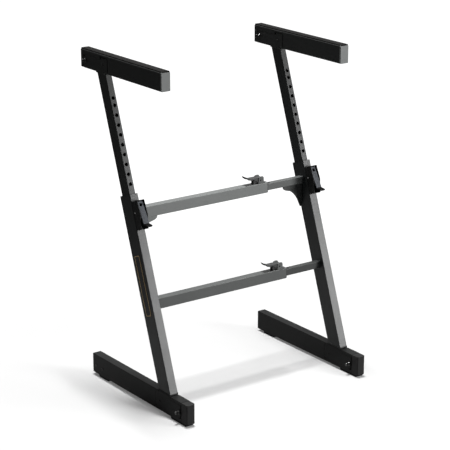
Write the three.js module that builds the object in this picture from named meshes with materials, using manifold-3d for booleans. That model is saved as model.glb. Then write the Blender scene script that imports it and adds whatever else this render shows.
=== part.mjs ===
// Folding Z-shaped keyboard stand: two leaning side frames joined by two telescoping crossbars.
// Millimetres, +X right, +Y to the back, +Z up. Z = 0 is the floor.
// The origin is the middle of the footprint.
import * as THREE from 'three';
import { mergeVertices } from 'three/addons/utils/BufferGeometryUtils.js';
import Module from 'manifold-3d';

const wasm = await Module();
wasm.setup();

// ---------- Driving dimensions ----------
const FRAME_SPACING = 570; // centre to centre of the two side frames
const LEAN = THREE.MathUtils.degToRad(19.5); // the legs lean back
const FIT_GAP = 0.3; // clearance around pieces that slide, turn or are let in
const FLOOR_TO_TUBE = 6; // height of the rubber foot pads

// Base: a tube along the floor under each leg
const TUBE_WIDTH = 26; // also the width of the arm
const BASE_LENGTH = 457;
const BASE_HEIGHT = 55;
const BASE_NOSE = 24.7;
const NOSE_CHAMFER = 2.5;
const REAR_CAP = 4;
const CAP_PLUG = 10;
const CAVITY_FLOOR = 3;
const FRONT_PAD_START = 4;
const REAR_PAD_SETBACK = 26; // from the rear end of the base
const FRONT_PAD_LENGTH = 74;
const REAR_PAD_LENGTH = 52;
const PAD_BEVEL = 3;

// Leg: a lower tube and an upper tube that slides in it
const LEG_SETBACK = 75.6; // front face of the leg at the top of the base, from the front end of the base
const LOWER_DEPTH = 50;
const LOWER_WIDTH = 25;
const LOWER_WALL = 1.5;
const LOWER_TOP = 524; // along the leg, from the top of the base
const UPPER_DEPTH = 38;
const UPPER_WIDTH = 19;
const UPPER_WALL = 1.5;
const UPPER_BOTTOM = 300;
const TUBE_CORNER = 1.6;
const COLLAR_LENGTH = 30;
const COLLAR_FLANGE = 1.8;
const HOLE_PITCH = 26;
const HOLE_DIAMETER = 10;
const HEIGHT_STEPS_DOWN = 11; // steps that the arm can go down from here
const HEIGHT_STEPS_UP = 3;
const MOUTH_STEP = 2; // a hole here would lie in the mouth of the collar
const TOP_HOLE_STEP = 19.5; // the last hole, under the arm, is closer

// Arm: a tube with a rubber strip that carries the keyboard
const ARM_LENGTH = 381;
const ARM_HEIGHT = 48;
const ARM_UNDERSIDE = 858; // above the underside of the base
const ARM_REAR = 479; // rear end of the arm, from the front end of the base
const ARM_FRONT_CAP = 5;
const ARM_REAR_CAP = 3;
const STRIP_THICKNESS = 3;
const STRIP_INSET = 1.5;

// Fold joints. A saddle on the leg grips the tube, and the arm has the same joint as the base, upside down.
// Outlines are [along, deep]: along the tube from its end, and deep into it from the face that meets the leg.
const PLATE = 2.5; // the plates of the saddle are let into the sides of the tube
const SADDLE_WEB = 2.2;
const SADDLE_SEAM = 0.4;
const PIVOT_DEEP = 8;
const PIVOT_FROM_LEG = 10;
const PIVOT_PIN = 7.4;
const KNUCKLE = 7.5;
const PLATE_CORNER = 12;
const HEEL_CORNER = 6;
const TONGUE = { start: 25.6, deep: 8, seam: 2.6 }; // the seam is in front of the leg
const FOOT_PLATE = { start: 29, deep: 46 };
const ARM_PLATE = { start: 14, deep: 34, step: 12.7, stepDeep: 39 }; // steps lie behind the leg's front face
const ARM_NOTCH = { start: 12.6, deep: 34.6, step: 18.7, stepDeep: 43, pastPivot: 11.1 };
const WEB_INSET = 1.1;
const PULL_PIN = { diameter: 11, collar: 3, neck: 6, knob: 9, proud: 11 };
const FOOT_PULL = { setback: 36, deep: 30 };
const ARM_PULL = { setback: 23.5, deep: 21 };
const STUD = { diameter: 6.5, proud: 1.5 };
const FOOT_STUD = { fromPivot: 10.4, deep: 29.3 };
const ARM_STUD = { fromPivot: 15.4, deep: 21 };
const SIDE_GROOVE = 1;

// Height latch on the front of each lower leg.
// "drop" is down the leg from the latch's top, and "out" is out from the face of the leg.
const LATCH_BELOW_MOUTH = 17;
const LATCH_LENGTH = 77;
const LATCH_WIDTH = 23;
const LATCH_PLATE = 1.8;
const LATCH_WAIST = 39;
const LATCH_DEPTH = { top: 27, waist: 31, bottom: 20 };
const LATCH_HINGE = { out: 18, drop: 10 };
const LATCH_HINGE_DIAMETER = 4;
const LATCH_PIN_DROP = 33;
const LATCH_PIN_DIAMETER = 7.6;
const LATCH_PIN_HEAD = { diameter: 12, height: 2, out: 23 };
const LATCH_PIN_TIP = 5.5; // behind the front face of the lower leg, just short of the upper leg
const LEVER_WIDTH = 16;
const LEVER_PLATE = 1.8;
const LEVER_TOP = { out: 22.5, drop: 3.5 };
const LEVER_EAR = { out: 27, drop: 35 };
const LEVER_FOOT = { out: 34, drop: 65 };
const LEVER_LIP = { out: 46, drop: 71 };
const LEVER_WINDOW = { diameter: 9, drop: 12.5 };

// Crossbars: an outer tube from the left frame and an inner tube from the right frame
const BAR_HEIGHT = 30;
const BAR_DEPTH = 22;
const INNER_BAR_HEIGHT = 20;
const INNER_BAR_DEPTH = 15;
const BAR_WALL = 1.5;
const MOUTH_LENGTH = 20; // the mouth of the outer tube is thick, and guides the inner one
const MOUTH_PLAY = 0.6;
const UPPER_BAR_HEIGHT = 503.5;
const UPPER_BAR_END = 147.5; // right end of the outer tube
const LOWER_BAR_HEIGHT = 276.8;
const LOWER_BAR_END = 153;
const INNER_BAR_START = -60;
const WIDTH_PITCH = 25;
const WIDTH_STEPS_OUT = 4;
const WIDTH_STEPS_IN = 2;
const GUSSET_THICKNESS = 4;
// From the tip of the gusset under the bar to its tail on the leg: away from the leg, and below the bar
const GUSSET_EDGE = [
  [62, 0], [62.5, 6], [58, 11.5], [50, 14.5], [40, 17], [30, 23], [21, 32], [13, 43], [7.5, 55], [2, 67],
];

// Width lock on top of each outer crossbar; x runs from its hinge pin to the right
const LOCK_SETBACK = 24; // hinge pin, back from the end of the outer crossbar
const LOCK_PLATE = 1.8;
const LOCK_HINGE_HEIGHT = 9.5;
const LOCK_HINGE_DIAMETER = 4;
const LOCK_EAR = { left: -6, right: 11, foot: 17, top: 20 };
const LOCK_LEVER = { right: 6, bend: -30, tip: -49, lift: 8, height: 15.5, cheek: 5 };
const LOCK_BLOCK = { centre: -14, size: 12, depth: 11 };
const LOCK_PIN_DIAMETER = 7;

// Rating plate on the outside of the left lower leg
const LABEL = { from: 203, to: 368, width: 26, thickness: 0.5, corner: 4 };

// ---------- Materials ----------
function paint(colour, roughness, metalness) {
  return new THREE.MeshStandardMaterial({ color: colour, roughness, metalness });
}

const legPaint = paint(0x2b2e2e, 0.42, 0.5);
const upperPaint = paint(0x2a2c2c, 0.4, 0.55);
const basePaint = paint(0x262929, 0.45, 0.45);
const armPaint = paint(0x262828, 0.5, 0.35);
const barPaint = paint(0x3a3c3d, 0.45, 0.5);
const latchSteel = paint(0x7d8381, 0.38, 0.75);
const blackSteel = paint(0x141616, 0.45, 0.6);
const zincSteel = paint(0xb9bcbc, 0.3, 0.9);
const plastic = paint(0x1d1f20, 0.6, 0);
const capPlastic = paint(0x343839, 0.55, 0);
const rubber = paint(0x303132, 0.9, 0);
const labelMetal = paint(0x1a1a1a, 0.4, 0.4);

// ---------- Solid helpers ----------
function toSolid(geometry) {
  geometry.deleteAttribute('normal');
  geometry.deleteAttribute('uv');
  const merged = mergeVertices(geometry, 1e-4);
  return new wasm.Manifold(new wasm.Mesh({
    numProp: 3,
    vertProperties: new Float32Array(merged.attributes.position.array),
    triVerts: new Uint32Array(merged.index.array),
  }));
}

function toMesh(name, solid, material) {
  const { vertProperties, triVerts } = solid.getMesh();
  const geometry = new THREE.BufferGeometry();
  geometry.setAttribute('position', new THREE.BufferAttribute(new Float32Array(vertProperties), 3));
  geometry.setIndex(new THREE.BufferAttribute(new Uint32Array(triVerts), 1));
  geometry.computeVertexNormals();
  const mesh = new THREE.Mesh(geometry, material);
  mesh.name = name;
  return mesh;
}

function block([x0, x1], [y0, y1], [z0, z1]) {
  const box = new THREE.BoxGeometry(x1 - x0, y1 - y0, z1 - z0);
  return toSolid(box.translate((x0 + x1) / 2, (y0 + y1) / 2, (z0 + z1) / 2));
}

// A round bar along X, Y or Z between two coordinates, through a point given by its other two coordinates
function rod(axis, diameter, from, to, [a, b], sides = 20) {
  const bar = new THREE.CylinderGeometry(diameter / 2, diameter / 2, to - from, sides);
  const middle = (from + to) / 2;
  if (axis === 'x') bar.rotateZ(-Math.PI / 2).translate(middle, a, b);
  if (axis === 'y') bar.translate(a, middle, b);
  if (axis === 'z') bar.rotateX(Math.PI / 2).translate(a, b, middle);
  return toSolid(bar);
}

// An outline of [y, z] points, as thick as the span along X
function sidePlate(points, [x0, x1]) {
  const shape = new THREE.Shape(points.map(([y, z]) => new THREE.Vector2(y, z)));
  const plate = new THREE.ExtrudeGeometry(shape, { depth: x1 - x0, bevelEnabled: false, curveSegments: 6 });
  const turn = new THREE.Matrix4().makeBasis(
    new THREE.Vector3(0, 1, 0), new THREE.Vector3(0, 0, 1), new THREE.Vector3(1, 0, 0));
  return toSolid(plate.applyMatrix4(turn).translate(x0, 0, 0));
}

// An outline of [x, z] points, as thick as the span along Y
function frontPlate(points, [y0, y1]) {
  const shape = new THREE.Shape(points.map(([x, z]) => new THREE.Vector2(x, z)));
  const plate = new THREE.ExtrudeGeometry(shape, { depth: y1 - y0, bevelEnabled: false, curveSegments: 6 });
  return toSolid(plate.rotateX(Math.PI / 2).translate(0, y1, 0));
}

function roundedRectangle(width, height, radius) {
  const shape = new THREE.Shape();
  const x = width / 2 - radius;
  const y = height / 2 - radius;
  shape.absarc(x, y, radius, 0, Math.PI / 2);
  shape.absarc(-x, y, radius, Math.PI / 2, Math.PI);
  shape.absarc(-x, -y, radius, Math.PI, 1.5 * Math.PI);
  shape.absarc(x, -y, radius, 1.5 * Math.PI, 2 * Math.PI);
  shape.closePath();
  return shape;
}

// A bar with rounded corners, centred on an axis; "sizes" are its two sides
function roundedBar(axis, sizes, [from, to], [a, b], radius = TUBE_CORNER) {
  const section = axis === 'x' ? [sizes[1], sizes[0]] : sizes;
  const bar = new THREE.ExtrudeGeometry(roundedRectangle(...section, radius), {
    depth: to - from, bevelEnabled: false, curveSegments: 3,
  });
  if (axis === 'x') bar.rotateY(Math.PI / 2).translate(from, a, b);
  if (axis === 'y') bar.rotateX(Math.PI / 2).translate(a, to, b);
  if (axis === 'z') bar.translate(a, b, from);
  return toSolid(bar);
}

function tube(axis, sizes, wall, span, centre) {
  const bore = sizes.map((size) => size - 2 * wall);
  const through = [span[0] - 1, span[1] + 1];
  const inside = roundedBar(axis, bore, through, centre, TUBE_CORNER / 2);
  return roundedBar(axis, sizes, span, centre).subtract(inside);
}

// An arc of points round a centre, for outlines
function arc([y, z], radius, startDegrees, endDegrees, steps = 8) {
  return Array.from({ length: steps + 1 }, (_, i) => {
    const angle = THREE.MathUtils.degToRad(startDegrees + ((endDegrees - startDegrees) * i) / steps);
    return [y + radius * Math.cos(angle), z + radius * Math.sin(angle)];
  });
}

// A sheet that follows a line of points, with its outer face on the line
function sheetOutline(points, thickness) {
  const inner = points.map((point, i) => {
    const before = points[Math.max(i - 1, 0)];
    const after = points[Math.min(i + 1, points.length - 1)];
    const run = new THREE.Vector2(after[0] - before[0], after[1] - before[1]).normalize();
    return [point[0] + run.y * thickness, point[1] - run.x * thickness];
  });
  return [...points, ...inner.reverse()];
}

function both(span) {
  return [-span, span];
}

// ---------- Places worked out from the dimensions ----------
const BARS = [
  { name: 'upper', height: UPPER_BAR_HEIGHT, end: UPPER_BAR_END },
  { name: 'lower', height: LOWER_BAR_HEIGHT, end: LOWER_BAR_END },
];
const SIDES = [{ name: 'left', x: -FRAME_SPACING / 2 }, { name: 'right', x: FRAME_SPACING / 2 }];
const LATCH_TOP = LOWER_TOP - LATCH_BELOW_MOUTH;
const LATCH_PIN_AT = LATCH_TOP - LATCH_PIN_DROP;
const LEG_AXIS_Y = LEG_SETBACK + LOWER_DEPTH / 2 / Math.cos(LEAN);
const LEG_REAR_Y = LEG_SETBACK + LOWER_DEPTH / Math.cos(LEAN);
const FRONT_FACE = -LOWER_DEPTH / 2; // in the frame of the leg
const HALF = TUBE_WIDTH / 2;
const PLATE_INSIDE = HALF - PLATE;
const NECK = PLATE_INSIDE - FIT_GAP; // half of the tube between the plates
const TUBE_WALL = 2;
const CAVITY = NECK - TUBE_WALL;
const WIDE_CAVITY = HALF - TUBE_WALL;
// Where the two faces of the leg meet the base and the arm
const FOOT_LEG = { near: LEG_SETBACK, far: LEG_REAR_Y };
const ARM_LEG = {
  near: ARM_REAR - legAxisAt(ARM_UNDERSIDE) - UPPER_DEPTH / 2 / Math.cos(LEAN),
  far: ARM_REAR - legAxisAt(ARM_UNDERSIDE) + UPPER_DEPTH / 2 / Math.cos(LEAN),
};
const FOOT_PIVOT = pivotAlong(FOOT_LEG);
const SEAM_END = FOOT_LEG.near + FIT_GAP;
const ARM_PIVOT = pivotAlong(ARM_LEG);
const TOP_HEIGHT_HOLE = LATCH_PIN_AT + HEIGHT_STEPS_DOWN * HOLE_PITCH;
const INNER_BAR = [INNER_BAR_DEPTH, INNER_BAR_HEIGHT];

function pivotAlong(leg) {
  return leg.far - PIVOT_DEEP * Math.tan(LEAN) + PIVOT_FROM_LEG / Math.cos(LEAN);
}

function onBase([along, deep]) {
  return [along, BASE_HEIGHT - deep];
}

function onArm([along, deep]) {
  return [-along, deep];
}

function legAxisAt(height) {
  return LEG_AXIS_Y + (height - BASE_HEIGHT) * Math.tan(LEAN);
}

// ---------- Fold joints ----------
// The rounded end of a plate round its pivot, and from there to the face of the leg
function knuckle(pivot) {
  const lean = THREE.MathUtils.radToDeg(LEAN);
  const foot = [pivot - PIVOT_FROM_LEG * Math.cos(LEAN), PIVOT_DEEP - PIVOT_FROM_LEG * Math.sin(LEAN)];
  return [...arc([pivot, PIVOT_DEEP], KNUCKLE, 0, -90 - lean), foot];
}

// The part of a saddle under the end of the leg
function saddleWeb(leg, halfWidth, toTube) {
  const top = -SADDLE_SEAM - SADDLE_WEB;
  const shift = Math.tan(LEAN);
  const outline = [
    [leg.near + WEB_INSET - shift, 1],
    [leg.near + WEB_INSET - top * shift, top],
    [leg.far - WEB_INSET - top * shift, top],
    [leg.far - WEB_INSET - shift, 1],
  ];
  const low = -SADDLE_SEAM;
  const channel = [[0, low], [0, BASE_HEIGHT], [BASE_LENGTH, BASE_HEIGHT], [BASE_LENGTH, low]];
  return sidePlate(outline.map(toTube), both(halfWidth))
    .subtract(sidePlate(channel.map(toTube), both(PLATE_INSIDE)));
}

function twoPlates(outline, toTube) {
  const whole = sidePlate(outline.map(toTube), both(HALF));
  return whole.subtract(block(both(PLATE_INSIDE), both(BASE_LENGTH), both(BASE_LENGTH)));
}

// Holes for the pivot pin and the pull pin
function drill(solid, pivot, pull, toTube) {
  return solid
    .subtract(rod('x', PIVOT_PIN + 2 * FIT_GAP, -TUBE_WIDTH, TUBE_WIDTH, toTube([pivot, PIVOT_DEEP])))
    .subtract(rod('x', PULL_PIN.diameter + 2 * FIT_GAP, -TUBE_WIDTH, 0, toTube([pull.setback, pull.deep])));
}

function studHeads(pivot, stud, toTube) {
  const middle = toTube([pivot - stud.fromPivot, stud.deep]);
  return rod('x', STUD.diameter, -HALF - STUD.proud, -HALF + 1, middle, 16)
    .add(rod('x', STUD.diameter, HALF - 1, HALF + STUD.proud, middle, 16));
}

function pivotPin(pivot, toTube) {
  return rod('x', PIVOT_PIN, -HALF, HALF, toTube([pivot, PIVOT_DEEP]));
}

// A sprung pin with a collar, a neck and a knob to pull it out by
function pullPin(pull, toTube) {
  const middle = toTube([pull.setback, pull.deep]);
  const collarFace = -HALF - PULL_PIN.collar;
  const knobFace = -HALF - PULL_PIN.proud;
  const knobLength = (PULL_PIN.proud - PULL_PIN.collar) / 2;
  return rod('x', PULL_PIN.diameter, collarFace, -PLATE_INSIDE, middle)
    .add(rod('x', PULL_PIN.neck, knobFace + 1, collarFace + 1, middle, 16))
    .add(rod('x', PULL_PIN.knob, knobFace, knobFace + knobLength, middle));
}

function footBracket() {
  const { start, deep } = FOOT_PLATE;
  const heel = FOOT_PIVOT + KNUCKLE - HEEL_CORNER;
  const outline = [
    [TONGUE.start, 0],
    [TONGUE.start, TONGUE.deep],
    [start, TONGUE.deep],
    ...arc([start + PLATE_CORNER, deep - PLATE_CORNER], PLATE_CORNER, 180, 90, 5),
    ...arc([heel, deep - HEEL_CORNER], HEEL_CORNER, 90, 0, 4),
    ...knuckle(FOOT_PIVOT),
    [FOOT_LEG.far, 0],
  ];
  const tongueEnd = SEAM_END - TONGUE.seam;
  const tongue = [[TONGUE.start, 0], [TONGUE.start, TONGUE.deep], [tongueEnd, TONGUE.deep], [tongueEnd, 0]];
  const slotDeep = TONGUE.deep - 2 * SIDE_GROOVE;
  const slot = [[tongueEnd, -1], [tongueEnd, slotDeep], [SEAM_END, slotDeep], [SEAM_END, -1]];
  const lineDeep = TONGUE.deep + SIDE_GROOVE;
  const line = [[0, TONGUE.deep], [0, lineDeep], [SEAM_END, lineDeep], [SEAM_END, TONGUE.deep]];
  const grooves = sidePlate(line.map(onBase), both(TUBE_WIDTH))
    .subtract(sidePlate(line.map(onBase), both(HALF - SIDE_GROOVE)));
  const body = twoPlates(outline, onBase)
    .add(sidePlate(tongue.map(onBase), both(HALF)))
    .subtract(sidePlate(slot.map(onBase), both(TUBE_WIDTH)))
    .subtract(grooves)
    .add(saddleWeb(FOOT_LEG, HALF - WEB_INSET, onBase));
  return drill(body, FOOT_PIVOT, FOOT_PULL, onBase).add(studHeads(FOOT_PIVOT, FOOT_STUD, onBase));
}

function armBracket() {
  const { start, deep, stepDeep } = ARM_PLATE;
  const step = ARM_LEG.far - ARM_PLATE.step;
  const outline = [
    [start, 0],
    ...arc([start + PLATE_CORNER, deep - PLATE_CORNER], PLATE_CORNER, 180, 90, 5),
    [step - WEB_INSET, deep],
    [step, stepDeep],
    [ARM_PIVOT + KNUCKLE, stepDeep],
    ...knuckle(ARM_PIVOT),
    [ARM_LEG.far, 0],
  ];
  const body = twoPlates(outline, onArm).add(saddleWeb(ARM_LEG, HALF, onArm));
  return drill(body, ARM_PIVOT, ARM_PULL, onArm).add(studHeads(ARM_PIVOT, ARM_STUD, onArm));
}

// ---------- Base ----------
function notchSides(outline, toTube) {
  const middle = block(both(NECK), both(BASE_LENGTH), both(BASE_LENGTH));
  return sidePlate(outline.map(toTube), both(TUBE_WIDTH)).subtract(middle);
}

function baseTube() {
  const span = [BASE_NOSE, BASE_LENGTH - REAR_CAP];
  const swing = KNUCKLE + 2 * SADDLE_SEAM;
  const floor = FOOT_PLATE.deep + FIT_GAP;
  const notch = [
    [0, -1],
    [0, floor],
    [FOOT_PIVOT + swing, floor],
    ...arc([FOOT_PIVOT, PIVOT_DEEP], swing, 0, -90),
    [FOOT_PIVOT, -1],
  ];
  const step = BASE_HEIGHT - TONGUE.deep - SADDLE_SEAM;
  const widens = FOOT_PIVOT + swing + TUBE_WALL;
  const lowCavity = block(both(CAVITY), [0, widens + 1], [CAVITY_FLOOR, step - CAVITY_FLOOR]);
  const inside = [CAVITY_FLOOR, BASE_HEIGHT - CAVITY_FLOOR];
  const highCavity = block(both(WIDE_CAVITY), [widens, BASE_LENGTH], inside);
  const body = roundedBar('y', [TUBE_WIDTH, BASE_HEIGHT], span, [0, BASE_HEIGHT / 2])
    .subtract(notchSides(notch, onBase))
    .subtract(block(both(TUBE_WIDTH), [0, SEAM_END + FIT_GAP], [step, BASE_HEIGHT + 1]))
    .subtract(lowCavity)
    .subtract(highCavity);
  return drill(body, FOOT_PIVOT, FOOT_PULL, onBase);
}

// A plug for the open end of a tube, from its cap inwards
function plug([y0, y1], top, cavity) {
  return block(both(cavity - FIT_GAP), [y0, y1], [CAVITY_FLOOR + FIT_GAP, top - CAVITY_FLOOR - FIT_GAP]);
}

function baseFrontCap() {
  const outline = new THREE.Shape([
    new THREE.Vector2(-HALF, BASE_NOSE),
    new THREE.Vector2(-HALF, NOSE_CHAMFER),
    new THREE.Vector2(NOSE_CHAMFER - HALF, 0),
    new THREE.Vector2(HALF - NOSE_CHAMFER, 0),
    new THREE.Vector2(HALF, NOSE_CHAMFER),
    new THREE.Vector2(HALF, BASE_NOSE),
  ]);
  const nose = new THREE.ExtrudeGeometry(outline, { depth: BASE_HEIGHT, bevelEnabled: false });
  const step = BASE_HEIGHT - TONGUE.deep - SADDLE_SEAM;
  return toSolid(nose).add(plug([BASE_NOSE - 1, BASE_NOSE + CAP_PLUG / 2], step, CAVITY));
}

function endCap(height, face, plugSpan, cavity) {
  return roundedBar('y', [TUBE_WIDTH, height], face, [0, height / 2]).add(plug(plugSpan, height, cavity));
}

function footPad(start, length) {
  const outline = [
    [start, 0],
    [start + PAD_BEVEL, -FLOOR_TO_TUBE],
    [start + length - PAD_BEVEL, -FLOOR_TO_TUBE],
    [start + length, 0],
  ];
  return sidePlate(outline, both(HALF - STRIP_INSET));
}

// ---------- Legs, in the frame of the leg: Z runs up the leg from the top of the base ----------
// Everything of a leg piece that lies below a level plane, cut away
function cutBelow(solid, height, upwards = 1) {
  const reach = 2 * LOWER_DEPTH;
  const slab = new THREE.BoxGeometry(4 * LOWER_WIDTH, 4 * reach, reach);
  const middle = (height - BASE_HEIGHT) - (upwards * reach) / 2;
  const along = (height - BASE_HEIGHT) * Math.tan(LEAN);
  slab.translate(0, along, middle);
  slab.rotateX(LEAN);
  return solid.subtract(toSolid(slab));
}

function lowerLeg() {
  const pinBore = rod('y', LATCH_PIN_DIAMETER + 2 * FIT_GAP, 1.5 * FRONT_FACE, 0, [0, LATCH_PIN_AT]);
  const leg = tube('z', [LOWER_WIDTH, LOWER_DEPTH], LOWER_WALL, [-LOWER_DEPTH, LOWER_TOP], [0, 0]);
  return cutBelow(leg.subtract(pinBore), BASE_HEIGHT + SADDLE_SEAM + SADDLE_WEB + FIT_GAP);
}

function legCollar() {
  const bore = [UPPER_WIDTH + 2 * FIT_GAP, UPPER_DEPTH + 2 * FIT_GAP];
  const insert = [LOWER_WIDTH, LOWER_DEPTH].map((size) => size - 2 * LOWER_WALL - 2 * FIT_GAP);
  const flange = [LOWER_TOP + FIT_GAP, LOWER_TOP + FIT_GAP + COLLAR_FLANGE];
  const sleeveBottom = LOWER_TOP - COLLAR_LENGTH;
  return roundedBar('z', insert, [sleeveBottom, flange[1]], [0, 0])
    .add(roundedBar('z', [LOWER_WIDTH, LOWER_DEPTH], flange, [0, 0]))
    .subtract(roundedBar('z', bore, [sleeveBottom - 1, flange[1] + 1], [0, 0]));
}

function upperLeg() {
  const top = (ARM_UNDERSIDE - BASE_HEIGHT) / Math.cos(LEAN) + UPPER_DEPTH;
  let leg = tube('z', [UPPER_WIDTH, UPPER_DEPTH], UPPER_WALL, [UPPER_BOTTOM, top], [0, 0]);
  for (let step = -HEIGHT_STEPS_UP; step <= HEIGHT_STEPS_DOWN; step += 1) {
    if (step === MOUTH_STEP) continue;
    leg = leg.subtract(rod('y', HOLE_DIAMETER, -UPPER_DEPTH, 0, [0, LATCH_PIN_AT + step * HOLE_PITCH], 16));
  }
  leg = leg.subtract(rod('y', HOLE_DIAMETER, -UPPER_DEPTH, 0, [0, TOP_HEIGHT_HOLE + TOP_HOLE_STEP], 16));
  return cutBelow(leg, ARM_UNDERSIDE - SADDLE_SEAM - SADDLE_WEB - FIT_GAP, -1);
}

function ratingPlate() {
  const face = -LOWER_WIDTH / 2 - FIT_GAP;
  const length = LABEL.to - LABEL.from;
  const plate = new THREE.ExtrudeGeometry(roundedRectangle(LABEL.width, length, LABEL.corner), {
    depth: LABEL.thickness, bevelEnabled: false, curveSegments: 4,
  });
  const turn = new THREE.Matrix4().makeBasis(
    new THREE.Vector3(0, 1, 0), new THREE.Vector3(0, 0, 1), new THREE.Vector3(1, 0, 0));
  const centre = (LABEL.from + LABEL.to) / 2;
  return toSolid(plate.applyMatrix4(turn).translate(face - LABEL.thickness, 0, centre));
}

// ---------- Height latch, in the frame of the leg ----------
function out(distance) {
  return FRONT_FACE - distance;
}

function down({ drop }) {
  return LATCH_TOP - drop;
}

function latchHousing() {
  const back = out(FIT_GAP);
  const bottom = LATCH_TOP - LATCH_LENGTH;
  const outline = [
    [back, bottom],
    [back, LATCH_TOP],
    [out(LATCH_DEPTH.top), LATCH_TOP],
    [out(LATCH_DEPTH.waist), LATCH_TOP - LATCH_WAIST],
    [out(LATCH_DEPTH.bottom), bottom],
  ];
  const hinge = [out(LATCH_HINGE.out), down(LATCH_HINGE)];
  const inside = block(
    both(LATCH_WIDTH / 2 - LATCH_PLATE), [out(LOWER_DEPTH), back - LATCH_PLATE], [0, LOWER_TOP]);
  return sidePlate(outline, both(LATCH_WIDTH / 2))
    .subtract(inside)
    .subtract(rod('x', LATCH_HINGE_DIAMETER + 2 * FIT_GAP, -LATCH_WIDTH, LATCH_WIDTH, hinge, 12))
    .subtract(rod('y', LATCH_PIN_DIAMETER + 2 * FIT_GAP, out(LOWER_DEPTH), 0, [0, LATCH_PIN_AT]));
}

function latchHingePin() {
  const place = [out(LATCH_HINGE.out), down(LATCH_HINGE)];
  return rod('x', LATCH_HINGE_DIAMETER, -LATCH_WIDTH / 2, LATCH_WIDTH / 2, place, 12);
}

function latchLever() {
  const half = LEVER_WIDTH / 2;
  const hinge = [out(LATCH_HINGE.out), down(LATCH_HINGE)];
  const face = [LEVER_TOP, LEVER_FOOT, LEVER_LIP].map((point) => [out(point.out), down(point)]);
  const eye = LATCH_HINGE_DIAMETER;
  const ears = [
    [out(LEVER_TOP.out - LEVER_PLATE / 2), down(LEVER_TOP)],
    ...arc(hinge, eye, 60, -60, 6),
    [out(LEVER_EAR.out), down(LEVER_EAR)],
  ];
  const earGap = block(both(half - LEVER_PLATE), [out(LATCH_DEPTH.waist), 0], [0, LOWER_TOP]);
  const window = rod(
    'y', LEVER_WINDOW.diameter, out(LOWER_DEPTH), out(LATCH_HINGE.out), [0, down(LEVER_WINDOW)]);
  return sidePlate(ears, both(half)).subtract(earGap)
    .add(sidePlate(sheetOutline(face.reverse(), LEVER_PLATE), both(half)))
    .subtract(rod('x', LATCH_HINGE_DIAMETER + 2 * FIT_GAP, -LATCH_WIDTH, LATCH_WIDTH, hinge, 12))
    .subtract(window);
}

function latchLockPin() {
  const head = out(LATCH_PIN_HEAD.out);
  return rod('y', LATCH_PIN_DIAMETER, head, FRONT_FACE + LATCH_PIN_TIP, [0, LATCH_PIN_AT])
    .add(rod('y', LATCH_PIN_HEAD.diameter, head, head + LATCH_PIN_HEAD.height, [0, LATCH_PIN_AT]));
}

// ---------- Arm, measured from its rear end: Y = -distance, Z = 0 at its underside ----------
function armTube() {
  const span = [ARM_FRONT_CAP - ARM_LENGTH, -ARM_REAR_CAP];
  const { start, deep, stepDeep } = ARM_NOTCH;
  const step = ARM_LEG.far - ARM_NOTCH.step;
  const end = ARM_PIVOT + ARM_NOTCH.pastPivot;
  const notch = [[start, -1], [start, deep], [step, deep], [step, stepDeep], [end, stepDeep], [end, -1]];
  const inside = [CAVITY_FLOOR, ARM_HEIGHT - CAVITY_FLOOR];
  const widens = -end - TUBE_WALL;
  const cavity = block(both(CAVITY), [widens - 1, 0], inside)
    .add(block(both(WIDE_CAVITY), [-ARM_LENGTH, widens], inside));
  const body = roundedBar('y', [TUBE_WIDTH, ARM_HEIGHT], span, [0, ARM_HEIGHT / 2])
    .subtract(notchSides(notch, onArm))
    .subtract(cavity);
  return drill(body, ARM_PIVOT, ARM_PULL, onArm);
}

function rubberStrip() {
  return block(both(HALF - STRIP_INSET), [-ARM_LENGTH, 0], [ARM_HEIGHT, ARM_HEIGHT + STRIP_THICKNESS]);
}

// ---------- Crossbars ----------
function gusset(side) {
  const edge = new THREE.SplineCurve(GUSSET_EDGE.map(([x, z]) => new THREE.Vector2(x, -z)));
  const curve = edge.getPoints(24).map((point) => [point.x, point.y]);
  const outline = [[0, curve.at(-1)[1]], [0, 0], ...curve];
  const towardsMiddle = side.x < 0 ? 1 : -1;
  const placed = outline.map(([x, z]) => [towardsMiddle * x, z]);
  return frontPlate(placed, both(GUSSET_THICKNESS / 2));
}

function outerBar(bar) {
  const start = SIDES[0].x + LOWER_WIDTH / 2 + FIT_GAP;
  const bore = [BAR_DEPTH, BAR_HEIGHT].map((size) => size - 2 * BAR_WALL);
  const mouth = INNER_BAR.map((size) => size + 2 * MOUTH_PLAY);
  const pinHole = rod('z', LOCK_PIN_DIAMETER + 2 * FIT_GAP, 0, BAR_HEIGHT, [pinX(bar), 0], 16);
  return roundedBar('x', [BAR_DEPTH, BAR_HEIGHT], [start, bar.end], [0, 0])
    .subtract(roundedBar('x', bore, [start - 1, bar.end - MOUTH_LENGTH], [0, 0]))
    .subtract(roundedBar('x', mouth, [start, bar.end + 1], [0, 0]))
    .subtract(pinHole);
}

function innerBar(bar) {
  const end = SIDES[1].x - LOWER_WIDTH / 2 - FIT_GAP;
  let tubeSolid = tube('x', INNER_BAR, BAR_WALL, [INNER_BAR_START, end], [0, 0]);
  for (let step = -WIDTH_STEPS_OUT; step <= WIDTH_STEPS_IN; step += 1) {
    const x = pinX(bar) + step * WIDTH_PITCH;
    tubeSolid = tubeSolid.subtract(rod('z', LOCK_PIN_DIAMETER + 2 * FIT_GAP, 0, BAR_HEIGHT, [x, 0], 16));
  }
  return tubeSolid;
}

function pinX(bar) {
  return bar.end - LOCK_SETBACK + LOCK_BLOCK.centre;
}

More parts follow.
